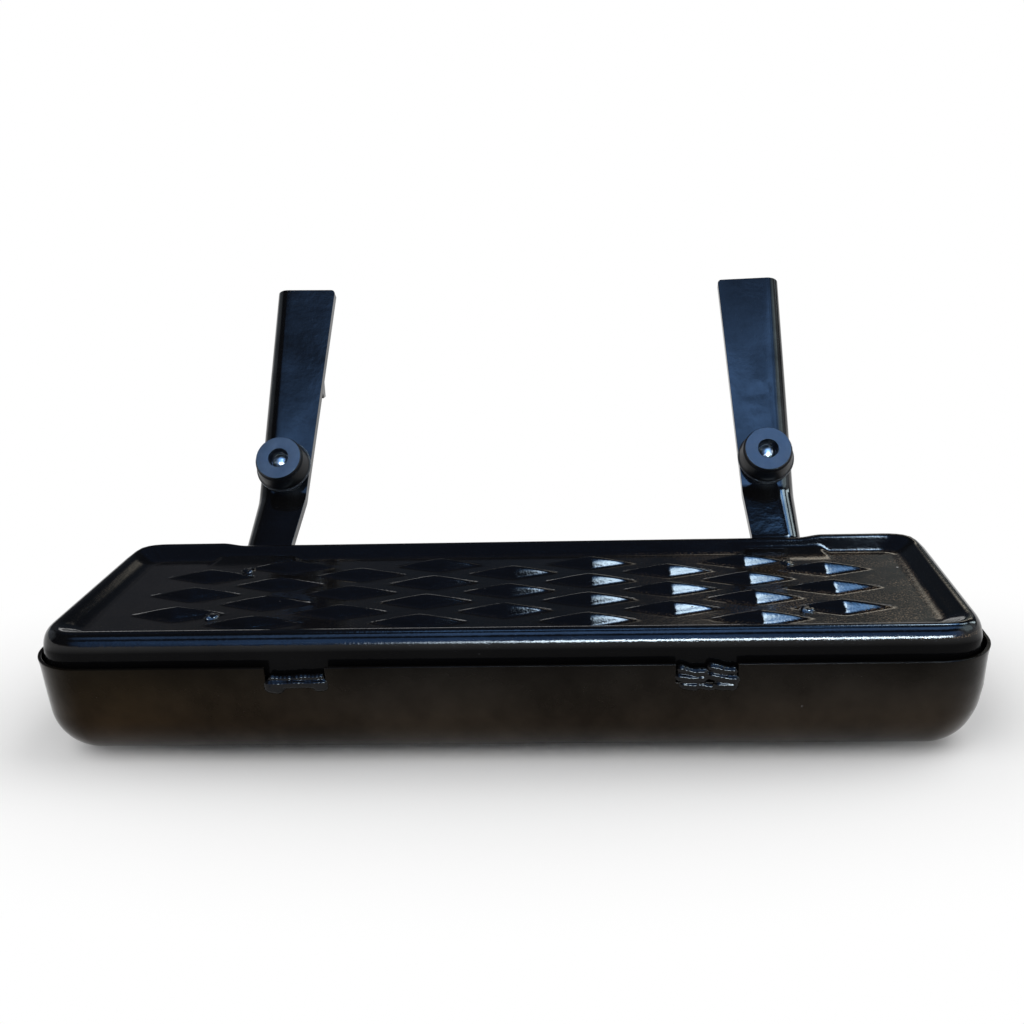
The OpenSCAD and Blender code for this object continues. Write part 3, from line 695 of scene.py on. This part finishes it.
def enamel(name, rough=0.07, level=(0.42, 0.55), fade=None, tint=(1, 1, 1), painted_low_reflection_tint=None, grain=0.006,
           base=(0.003, 0.003, 0.0034), painted_left_reflection_tint=(1, 1, 1)):
    """Gloss-black enamel over pressed steel, with orange peel, faint dulling and specks of dust.

    The gloss is mottled between the two levels. It can fade with depth below the tread's floor, which paints shade or
    reflection into the gloss by height: fade is (height, lower height, share of the gloss at the first, share at the
    second).
    With a fade, the reflections' tint goes from tint down to painted_low_reflection_tint, and towards
    painted_left_reflection_tint on the left end: a painted reflection colour.
    """
    material, tree, shader = nodes_of(name)
    at = add(tree, "ShaderNodeTexCoord").outputs["Object"]
    cloud = noise(tree, at, 45.0, 4.0, 0.6)
    fine = noise(tree, at, 900.0, 2.0)
    cells = add(tree, "ShaderNodeTexVoronoi", {"Vector": at, "Scale": 95.0, "Randomness": 1.0})
    speck = ramp(tree, cells.outputs["Distance"], 0.035, 0.06, 1.0, 0.0)
    rare = ramp(tree, noise(tree, at, 31.0, 2.0), 0.62, 0.66)
    specks = math_node(tree, "MULTIPLY", math_node(tree, "MULTIPLY", speck, rare), 0.8)
    tree.links.new(mixed(tree, specks, base, (0.35, 0.36, 0.38)), shader.inputs["Base Color"])
    dull = ramp(tree, cloud, 0.35, 0.75, rough * 0.8, rough * 1.7)
    dulled = math_node(tree, "ADD", dull, math_node(tree, "MULTIPLY", specks, 0.4))
    tree.links.new(dulled, shader.inputs["Roughness"])
    peel_height = noise(tree, at, 260.0, 2.0)
    bumped(tree, shader, [(peel_height, 0.03), (fine, grain)])
    gloss = ramp(tree, noise(tree, at, 24.0, 5.0, 0.62), 0.36, 0.64, *level)
    # Painted shade or reflection: the gloss and the reflections' tint change with height, and the tint also changes
    # towards the left end
    if fade:
        height = add(tree, "ShaderNodeSeparateXYZ", {0: at}).outputs["Z"]
        high, low, share_high, share_low = fade
        heights = [FRAME_AT.z + z / 1000 for z in (low, high)]
        gloss = math_node(tree, "MULTIPLY", gloss, ramp(tree, height, *heights, share_low, share_high))
        share = ramp(tree, height, *heights, 1.0, 0.0)
        colour = mixed(tree, share, tint, painted_low_reflection_tint or tint)
        across = add(tree, "ShaderNodeSeparateXYZ", {0: at}).outputs["X"]
        side = mixed(tree, ramp(tree, across, -0.15, -0.05, 1.0, 0.0), (1, 1, 1), painted_left_reflection_tint)
        colour = add(tree, "ShaderNodeVectorMath", {0: colour, 1: side}, operation="MULTIPLY").outputs[0]
        tree.links.new(colour, shader.inputs["Specular Tint"])
    tree.links.new(gloss, shader.inputs["Specular IOR Level"])
    shader.inputs["IOR"].default_value = 1.34
    return material


def painted_brown_reflection(material):
    """Paints brown specks into the tread floor's colour, thickest near its right end: a painted reflection of brown
    ground.
    """
    tree = material.node_tree
    colour = tree.nodes["Principled BSDF"].inputs["Base Color"]
    at = add(tree, "ShaderNodeTexCoord").outputs["Object"]
    place = add(tree, "ShaderNodeSeparateXYZ", {0: at}).outputs
    grains = ramp(tree, noise(tree, at, 1300.0, 3.0, 0.7), 0.50, 0.68)
    drifts = ramp(tree, noise(tree, at, 55.0, 3.0, 0.6), 0.36, 0.6, 0.15, 1.0)
    right = ramp(tree, place["X"], 0.04, 0.165, 0.03, 0.5)
    height = math_node(tree, "ABSOLUTE", math_node(tree, "SUBTRACT", place["Z"], FRAME_AT.z))
    floor = ramp(tree, height, 0.0003, 0.0008, 1.0, 0.0)
    share = math_node(tree, "MULTIPLY", math_node(tree, "MULTIPLY", grains, drifts),
                      math_node(tree, "MULTIPLY", right, floor))
    # Brown of the painted ground reflection, mixed into the floor's base colour
    node = add(tree, "ShaderNodeMix", {0: share}, data_type="RGBA")
    tree.links.new(colour.links[0].from_socket, node.inputs[6])
    node.inputs[7].default_value = (0.34, 0.25, 0.17, 1)
    tree.links.new(node.outputs[2], colour)


def rubber(name):
    """Satin moulded rubber with a fine skin texture, coloured by which way it faces: a blue-grey tip, partly dust and
    partly painted sky reflection, dark sides as painted shade, and a lighter band at the foot as a painted highlight.
    """
    material, tree, shader = nodes_of(name)
    coords = add(tree, "ShaderNodeTexCoord").outputs
    at = coords["Object"]
    axis = (0.0, -math.sin(ARM_SLOPES[3]), math.cos(ARM_SLOPES[3]))
    facing = add(tree, "ShaderNodeVectorMath", {0: coords["Normal"], 1: axis}, operation="DOT_PRODUCT").outputs["Value"]
    # Painted light by facing: faces along the buffer's axis get the tip's blue-grey, painted sky reflection over dusty
    # tone
    tip = ramp(tree, facing, 0.86, 0.97)
    foot = placed(buffer_place("right")[0])
    rise = add(tree, "ShaderNodeVectorMath", {0: at, 1: axis}, operation="DOT_PRODUCT").outputs["Value"]
    foot_rise = foot[1] * axis[1] + foot[2] * axis[2]
    # Painted highlight: a lighter band round the foot; the rest of the sides are painted shade
    ring = ramp(tree, rise, foot_rise + 0.0010, foot_rise + 0.0016, 1.0, 0.0)
    tone = noise(tree, at, 160.0, 4.0, 0.6)
    dust_and_sky_sheen = mixed(tree, ramp(tree, tone, 0.35, 0.7), (0.024, 0.044, 0.078), (0.040, 0.066, 0.108))
    sides = mixed(tree, ring, (0.005, 0.0055, 0.007), (0.022, 0.026, 0.032))
    tree.links.new(mixed(tree, tip, sides, dust_and_sky_sheen), shader.inputs["Base Color"])
    tree.links.new(ramp(tree, tone, 0.3, 0.7, 0.34, 0.46), shader.inputs["Roughness"])
    # Painted sheen: more gloss on the tip and on the foot's band
    tree.links.new(ramp(tree, math_node(tree, "MAXIMUM", tip, ring), 0.0, 1.0, 0.10, 0.5),
                   shader.inputs["Specular IOR Level"])
    bumped(tree, shader, [(noise(tree, at, 2600.0, 2.0), 0.02), (tone, 0.06)])
    return material


def plated(name, base, rough):
    """Plated or bare metal with faint brushing and clouding."""
    material, tree, shader = nodes_of(name)
    at = add(tree, "ShaderNodeTexCoord").outputs["Object"]
    cloud = noise(tree, at, 300.0, 3.0, 0.6)
    dark = tuple(0.7 * c for c in base)
    tree.links.new(mixed(tree, ramp(tree, cloud, 0.35, 0.7), dark, base), shader.inputs["Base Color"])
    tree.links.new(ramp(tree, cloud, 0.3, 0.7, rough * 0.8, rough * 1.4), shader.inputs["Roughness"])
    shader.inputs["Metallic"].default_value = 1.0
    bumped(tree, shader, [(noise(tree, at, 1500.0, 2.0), 0.01)])
    return material


# Stage, light and camera

def floor_dish(material):
    """A pale floor that rises gently far out, so that it fills the view behind the step."""
    radii = [0.05, 0.3, 0.8, 1.5, 2.2, 2.6, 3.0, 3.4, 4.2, 5.2, 6.4, 7.6]
    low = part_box("lower_pan")[0].z - 0.0003
    steps = 96
    points = []
    for r in radii:
        z = low + 0.2 * max(0.0, r - 2.6) ** 1.2
        points += [(r * math.cos(2 * math.pi * k / steps), FRAME_AT.y + r * math.sin(2 * math.pi * k / steps), z)
                   for k in range(steps)]
    faces = loop_faces(len(radii), steps) + [list(range(steps))[::-1]]
    mesh = bpy.data.meshes.new("floor")
    mesh.from_pydata(points, [], faces)
    floor = bpy.data.objects.new("floor", mesh)
    bpy.context.scene.collection.objects.link(floor)
    for polygon in mesh.polygons:
        polygon.use_smooth = True
    mesh.materials.append(material)


def seen_rays(tree):
    """1 for the rays that show a surface to the camera, straight or by reflection."""
    path = add(tree, "ShaderNodeLightPath").outputs
    seen = math_node(tree, "MAXIMUM", path["Is Camera Ray"], path["Is Glossy Ray"])
    return math_node(tree, "MAXIMUM", seen, path["Is Transmission Ray"])


def floor_material():
    """Pale paper, which fades to plain white well away from the step."""
    material, tree, shader = nodes_of("pale_floor")
    shader.inputs["Base Color"].default_value = (0.9, 0.9, 0.9, 1)
    shader.inputs["Roughness"].default_value = 1.0
    shader.inputs["Specular IOR Level"].default_value = 0.0
    at = add(tree, "ShaderNodeTexCoord").outputs["Object"]
    centred = add(tree, "ShaderNodeVectorMath", {0: at, 1: tuple(-FRAME_AT)}, operation="ADD").outputs[0]
    flat = add(tree, "ShaderNodeVectorMath", {0: centred, 1: (0.45, 1.0, 0.0)}, operation="MULTIPLY").outputs[0]
    away = add(tree, "ShaderNodeVectorMath", {0: flat}, operation="LENGTH").outputs["Value"]
    far = add(tree, "ShaderNodeMapRange", {0: away, 1: 0.07, 2: 0.175}, interpolation_type="SMOOTHSTEP").outputs[0]
    white = add(tree, "ShaderNodeEmission", {"Color": (1, 1, 1, 1), "Strength": 1.0}).outputs[0]
    share = math_node(tree, "MULTIPLY", far, seen_rays(tree))
    mix = add(tree, "ShaderNodeMixShader", {0: share, 1: shader.outputs[0], 2: white}).outputs[0]
    tree.links.new(mix, tree.nodes["Material Output"].inputs["Surface"])
    return material


def glow(tree, ray, centre, half, soft, colour):
    """Radiance of a soft-edged patch of sky: its centre, and its half size and soft edge in degrees."""
    ahead = Vector(centre).normalized()
    side = ahead.cross(Vector((0, 0, 1))).normalized()
    above = side.cross(ahead)

    def dot(axis):
        return add(tree, "ShaderNodeVectorMath", {0: ray, 1: tuple(axis)}, operation="DOT_PRODUCT").outputs["Value"]

    forward = dot(ahead)
    share = ramp(tree, forward, 0.05, 0.1)
    for axis, h, edge in zip((side, above), half, soft):
        off = math_node(tree, "ABSOLUTE", math_node(tree, "DIVIDE", dot(axis), forward))
        inner, outer = math.tan(math.radians(h)), math.tan(math.radians(h + edge))
        fade = add(tree, "ShaderNodeMapRange", {0: off, 1: inner, 2: outer, 3: 1.0, 4: 0.0},
                   interpolation_type="SMOOTHSTEP").outputs[0]
        share = math_node(tree, "MULTIPLY", share, fade)
    return add(tree, "ShaderNodeVectorMath", {0: colour, "Scale": share}, operation="SCALE").outputs[0]


# Sky patches that the gloss shows: centre, half size, soft edge (degrees) and radiance
SKY_PATCHES = [
    ((0.13, -0.45, 0.88), (6, 3), (38, 12), (1.2, 2.5, 5.2)),
    ((0.285, 0.31, 0.905), (1.5, 1.5), (6.5, 4.5), (22.5, 27.0, 28.0)),
    ((0.34, 0.31, 0.89), (4, 3), (10, 6), (2.3, 5.6, 11.5)),
    ((0.17, -0.94, 0.25), (8, 1.1), (15, 3.0), (62.0, 74.0, 82.0)),
    ((0.14, -0.90, 0.42), (18, 4), (26, 14), (0.6, 1.4, 3.2)),
    ((0.10, 0.30, 0.93), (22, 12), (26, 16), (0.02, 0.05, 0.13)),
    ((0.30, 0.82, 0.455), (9, 1), (10, 3), (2.8, 2.55, 2.1)),
    ((0.00, 0.93, 0.37), (40, 5), (20, 8), (0.022, 0.030, 0.042)),
    ((0.36, 0.85, 0.36), (5, 3), (9, 5), (0.34, 0.36, 0.32)),
    ((-0.42, 0.83, 0.37), (7, 4), (11, 6), (0.045, 0.036, 0.026)),
    ((0.00, 0.026, 1.00), (9, 6.0), (5, 0.7), (1.1, 2.6, 5.4)),
    ((0.56, 0.25, 0.79), (2, 3), (6, 6), (9.0, 12.0, 14.0)),
    ((0.90, -0.25, 0.30), (24, 14), (20, 16), (0.8, 0.85, 0.9)),
    ((0.80, -0.20, 0.56), (8, 8), (12, 14), (2.0, 2.6, 2.8)),
    ((0.77, 0.42, 0.48), (2, 5), (5, 8), (7.0, 8.5, 9.0)),
    ((-0.90, 0.30, 0.35), (14, 10), (18, 14), (0.4, 0.44, 0.48)),
]


def world():
    """Even light for the surfaces, and a patchy outdoor sky for what the gloss shows."""
    sky = bpy.data.worlds.new("studio")
    sky.use_nodes = True
    tree = sky.node_tree
    background = tree.nodes["Background"]
    ray = add(tree, "ShaderNodeTexCoord").outputs["Generated"]
    total = (0.0, 0.0, 0.0)
    for patch in SKY_PATCHES:
        total = add(tree, "ShaderNodeVectorMath", {0: glow(tree, ray, *patch), 1: total}, operation="ADD").outputs[0]
    cloud = ramp(tree, noise(tree, ray, 13.0, 6.0, 0.68), 0.38, 0.60, 0.5, 1.3)
    total = add(tree, "ShaderNodeVectorMath", {0: total, "Scale": cloud}, operation="SCALE").outputs[0]
    total = add(tree, "ShaderNodeVectorMath", {0: total, 1: (0.02, 0.027, 0.04)}, operation="ADD").outputs[0]
    path = add(tree, "ShaderNodeLightPath").outputs
    plain = mixed(tree, path["Is Camera Ray"], (0.45, 0.45, 0.45), (1.0, 1.0, 1.0))
    tree.links.new(mixed(tree, path["Is Glossy Ray"], plain, total), background.inputs["Color"])
    bpy.context.scene.world = sky


def sun(name, direction, strength, angle):
    """A soft sun for the surfaces alone: the gloss shows the sky instead."""
    data = bpy.data.lights.new(name, "SUN")
    data.energy = strength
    data.angle = math.radians(angle)
    light = bpy.data.objects.new(name, data)
    bpy.context.scene.collection.objects.link(light)
    light.rotation_euler = Vector(direction).normalized().to_track_quat("Z", "Y").to_euler()
    light.visible_glossy = False


def lights():
    world()
    sun("key_left", (-0.5, -0.35, 0.8), 1.05, 50)
    sun("key_right", (0.55, 0.2, 0.8), 1.05, 50)


def camera():
    data = bpy.data.cameras.new("camera")
    data.sensor_width = SENSOR_MM
    data.lens = SENSOR_MM * FOCAL_PX / FRAME_PX
    data.shift_x = (FRAME_PX / 2 - AXIS_PX[0]) / FRAME_PX
    data.shift_y = (AXIS_PX[1] - FRAME_PX / 2) / FRAME_PX
    data.clip_end = 100
    cam = bpy.data.objects.new("camera", data)
    bpy.context.scene.collection.objects.link(cam)
    yaw, pitch, roll = CAMERA_YAW, CAMERA_PITCH, CAMERA_ROLL
    ahead = Vector((math.sin(yaw) * math.cos(pitch), math.cos(yaw) * math.cos(pitch), -math.sin(pitch)))
    level = Vector((math.cos(yaw), -math.sin(yaw), 0))
    above = level.cross(ahead)
    right = math.cos(roll) * level + math.sin(roll) * above
    up = -math.sin(roll) * level + math.cos(roll) * above
    turn = Matrix((right, up, -ahead)).transposed()
    cam.matrix_world = Matrix.Translation(Vector(placed(CAMERA_AT))) @ turn.to_4x4()
    bpy.context.scene.camera = cam


# Making it all

camera()
lights()
floor_dish(floor_material())

arm_fade_z = (TOP_P[1], (TOP_P[1] + BEND_P[1]) / 2)
# The tread's gloss fades below the rim's crest: painted shade on the skirt
black = enamel("gloss_black_enamel", fade=(-0.6, -3.2, 1.0, 0.16), grain=0.03)
painted_brown_reflection(black)
# The pan's gloss grows towards its bottom with a brown tint, warmer at the left end, over a brownish base: painted
# reflection of brown ground
black_pan = enamel("gloss_black_pan", rough=0.10, level=(0.28, 0.66), fade=(-PAN_DROP, -PAN_DROP - PAN_H, 0.24, 1.6),
                   tint=(1.0, 0.93, 0.84), painted_low_reflection_tint=(1.0, 0.60, 0.28), grain=0.02, base=(0.0036, 0.003, 0.0024),
                   painted_left_reflection_tint=(0.92, 0.70, 0.38))
# Each arm has its own copy of the enamel, with gloss levels and a fade up its length set apart: painted reflection
# brightness, lighter on one arm than the other
black_arm_left = enamel("gloss_black_arm_left", level=(0.35, 0.95), fade=(*arm_fade_z, 1.2, 0.7))
black_arm_right = enamel("gloss_black_arm_right", level=(0.30, 0.68), fade=(*arm_fade_z, 0.5, 1.0))
# Copies of the same enamel: lower gloss on the weld beads is painted shade, much higher gloss on the plug welds paints
# brighter glints
black_welds = enamel("gloss_black_weld", rough=0.035, level=(0.28, 0.36))
black_plugs = enamel("gloss_black_plug", rough=0.03, level=(0.95, 1.2))
black_brackets = enamel("gloss_black_bracket", rough=0.11)
buffer_rubber = rubber("buffer_rubber")
zinc = plated("bright_zinc", (0.80, 0.80, 0.80), 0.34)
bronze = plated("bush_bronze", (0.5, 0.36, 0.18), 0.3)

tread_plate(black)
lower_pan(black_pan)
arm("left", black_arm_left, [])
arm("right", black_arm_right, [(46, 14, 4, 0.25), (52, 18, 3, -0.2), (58, 12, 3.5, 0.2), (40, 20, 3, -0.15)])
for side in ("left", "right"):
    plug_welds(side, black_plugs)
    buffer(side, buffer_rubber)
    buffer_fasteners(side, zinc)
left_strokes = [(-10.6, 0.5, 10.8, 0.9, 2.2, 0.1), (-10.0, -0.8, -7.4, -1.2, 2.5, 0.1),
                (9.2, -0.7, 10.8, -0.5, 2.2, 0.1), (-9.6, 3.1, -1.0, 2.8, 1.3, 0.15), (0.4, 3.0, 10.2, 3.5, 1.4, 0.15)]
right_strokes = [(-9.8, 5.2, -1.6, 3.6, 1.7, 0.3), (-10.4, 1.9, -2.0, 1.4, 2.0, 0.25), (2.0, 5.8, 10.2, 4.4, 1.8, 0.3),
                 (2.2, 2.4, 10.6, 0.9, 2.1, 0.2), (-8.8, -1.2, -5.0, -1.6, 2.1, 0.2),
                 (-1.8, -1.4, 1.4, -2.4, 1.6, 0.2), (4.8, -1.3, 9.6, -1.8, 2.3, 0.1)]
notch_weld("front_weld_left", -NOTCH_X, True, left_strokes, black_welds)
notch_weld("front_weld_right", NOTCH_X, True, right_strokes, black_welds)
notch_weld("rear_weld_left", -NOTCH_X, False, right_strokes, black_welds)
notch_weld("rear_weld_right", NOTCH_X, False, left_strokes, black_welds)

finishes = {"gloss_black_steel": black_brackets, "bright_zinc": zinc, "bush_bronze": bronze,
            "buffer_rubber": buffer_rubber}
slot_of = {part["node"]: part["material_slot"] for part in frame["record"]["subparts"]}
for name, node in frame["nodes"].items():
    node.data.materials.clear()
    node.data.materials.append(finishes[slot_of[name]])

scene = bpy.context.scene
scene.view_settings.view_transform = "Standard"
